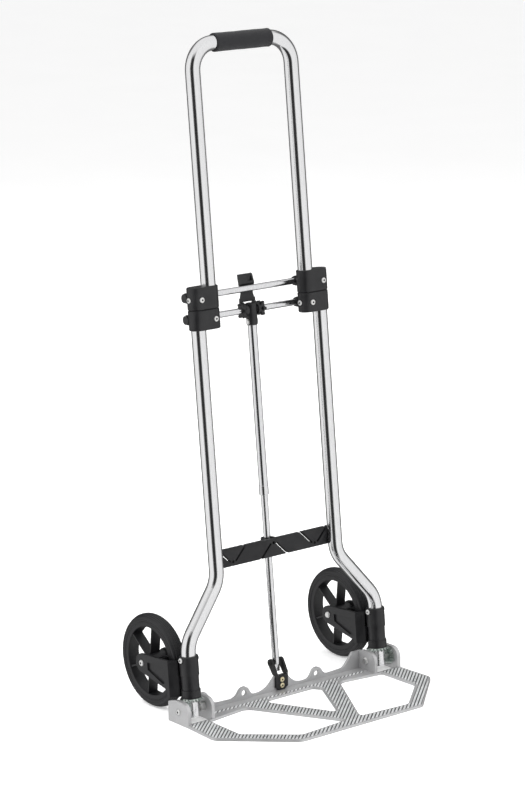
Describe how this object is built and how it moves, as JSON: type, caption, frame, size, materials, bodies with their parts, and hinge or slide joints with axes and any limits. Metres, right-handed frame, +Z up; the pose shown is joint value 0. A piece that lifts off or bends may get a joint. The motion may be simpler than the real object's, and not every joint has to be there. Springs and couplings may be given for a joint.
{
  "type": "folding luggage cart",
  "caption": "Folding luggage cart with telescopic tube handle, foam grip, swing-in wheels and a cast toe plate with windows that folds up against the frame.",
  "frame": {"origin": "on the floor, at the middle of the cart's bounding box in plan", "axes": "+Z up, +X to the cart's left seen from the front (from the side of the toe plate), -Y to the front, where the toe plate lies; the tube frame leans back towards +Y by 5 degrees"},
  "size_m": [0.47, 0.3815, 1.1157],
  "materials": {
    "tube_aluminium": "bright drawn tube",
    "strut_aluminium": "drawn tube",
    "plate_aluminium": "cast and painted silver, with ribs",
    "zinc_steel": "zinc plated",
    "gear_steel": "zinc plated, slightly yellow-green",
    "bright_steel": "bright drawn rod",
    "black_plastic": "fine moulded grain",
    "black_steel": "black satin paint",
    "rim_plastic": "moulded",
    "tyre_rubber": "matt rubber",
    "grip_foam": "closed-cell foam",
    "brass": "yellow zinc plating"
  },
  "bodies": {
    "frame": {"lower_tube_left": "tube_aluminium", "lower_tube_right": "tube_aluminium", "upper_block_left": "black_plastic", "upper_block_right": "black_plastic", "foot_plugs": "black_plastic", "collar_left": "black_plastic", "collar_right": "black_plastic", "collar_screws": "zinc_steel", "frame_screws": "zinc_steel", "frame_crossbar": "strut_aluminium", "frame_crossbar_caps": "black_plastic", "frame_crossbar_rings": "black_plastic", "cross_plate": "black_steel", "plate_rivets": "zinc_steel", "rod_guide": "black_plastic"},
    "handle": {"handle_tube": "tube_aluminium", "foam_grip": "grip_foam", "lower_block_left": "black_plastic", "lower_block_right": "black_plastic", "handle_crossbar": "strut_aluminium", "handle_crossbar_caps": "black_plastic", "handle_crossbar_rings": "black_plastic", "handle_screws": "zinc_steel", "strut_tube": "strut_aluminium", "strut_ferrule": "strut_aluminium", "strut_yoke": "black_plastic", "yoke_screws": "zinc_steel", "star_collars": "black_plastic"},
    "latch": {"latch_lever": "black_plastic"},
    "toe": {"toe_plate": "plate_aluminium", "toe_gear_left": "gear_steel", "toe_gear_right": "gear_steel", "strut_clevis": "black_steel", "clevis_screws": "brass", "clevis_pins": "black_steel", "hinge_bolts": "zinc_steel", "hinge_nuts": "zinc_steel", "hinge_bushes": "zinc_steel"},
    "rod": {"strut_rod": "bright_steel"},
    "bracket_left": {"wheel_bracket_left": "black_plastic", "bracket_gear_left": "gear_steel", "axle_bolt_left": "zinc_steel", "axle_nut_left": "zinc_steel"},
    "wheel_left": {"tyre_left": "tyre_rubber", "rim_left": "rim_plastic", "spokes_left": "rim_plastic", "hub_left": "rim_plastic", "hub_bush_left": "black_plastic"},
    "bracket_right": {"wheel_bracket_right": "black_plastic", "bracket_gear_right": "gear_steel", "axle_bolt_right": "zinc_steel", "axle_nut_right": "zinc_steel"},
    "wheel_right": {"tyre_right": "tyre_rubber", "rim_right": "rim_plastic", "spokes_right": "rim_plastic", "hub_right": "rim_plastic", "hub_bush_right": "black_plastic"}
  },
  "joints": [
    {"name": "handle_slide", "type": "slide", "parent": "frame", "child": "handle", "axis": [0, -0.0872, -0.9962], "range_m": [0, 0.23]},
    {"name": "latch_pivot", "type": "hinge", "parent": "handle", "child": "latch", "pos_m": [0, 0.09066, 0.65344], "axis": [-1, 0, 0], "range_deg": [0, 20], "stiffness_Nm_per_rad": 0.2, "springref_deg": -11.46},
    {"name": "toe_fold", "type": "hinge", "parent": "frame", "child": "toe", "pos_m": [0, 0.00725, 0.0213], "axis": [-1, 0, 0], "range_deg": [0, 95]},
    {"name": "rod_slide", "type": "slide", "parent": "frame", "child": "rod", "axis": [0, -0.0872, -0.9962], "range_m": [0, 0.06242]},
    {"name": "bracket_left_swivel", "type": "hinge", "parent": "frame", "child": "bracket_left", "pos_m": [-0.2025, 0.00725, 0.0213], "axis": [0, -0.0872, -0.9962], "range_deg": [0, 90]},
    {"name": "wheel_left_spin", "type": "hinge", "parent": "bracket_left", "child": "wheel_left", "pos_m": [-0.2025, 0.11076, 0.08], "axis": [1, 0, 0], "continuous": true},
    {"name": "bracket_right_swivel", "type": "hinge", "parent": "frame", "child": "bracket_right", "pos_m": [0.2025, 0.00725, 0.0213], "axis": [0, 0.0872, 0.9962], "range_deg": [0, 90]},
    {"name": "wheel_right_spin", "type": "hinge", "parent": "bracket_right", "child": "wheel_right", "pos_m": [0.2025, 0.11076, 0.08], "axis": [1, 0, 0], "continuous": true}
  ],
  "couplings": [
    {"joint": "rod_slide", "follows": "toe_fold", "m_per_rad": 0.037648},
    {"joint": "bracket_left_swivel", "follows": "toe_fold", "ratio": 0.94737},
    {"joint": "bracket_right_swivel", "follows": "toe_fold", "ratio": 0.94737}
  ]
}
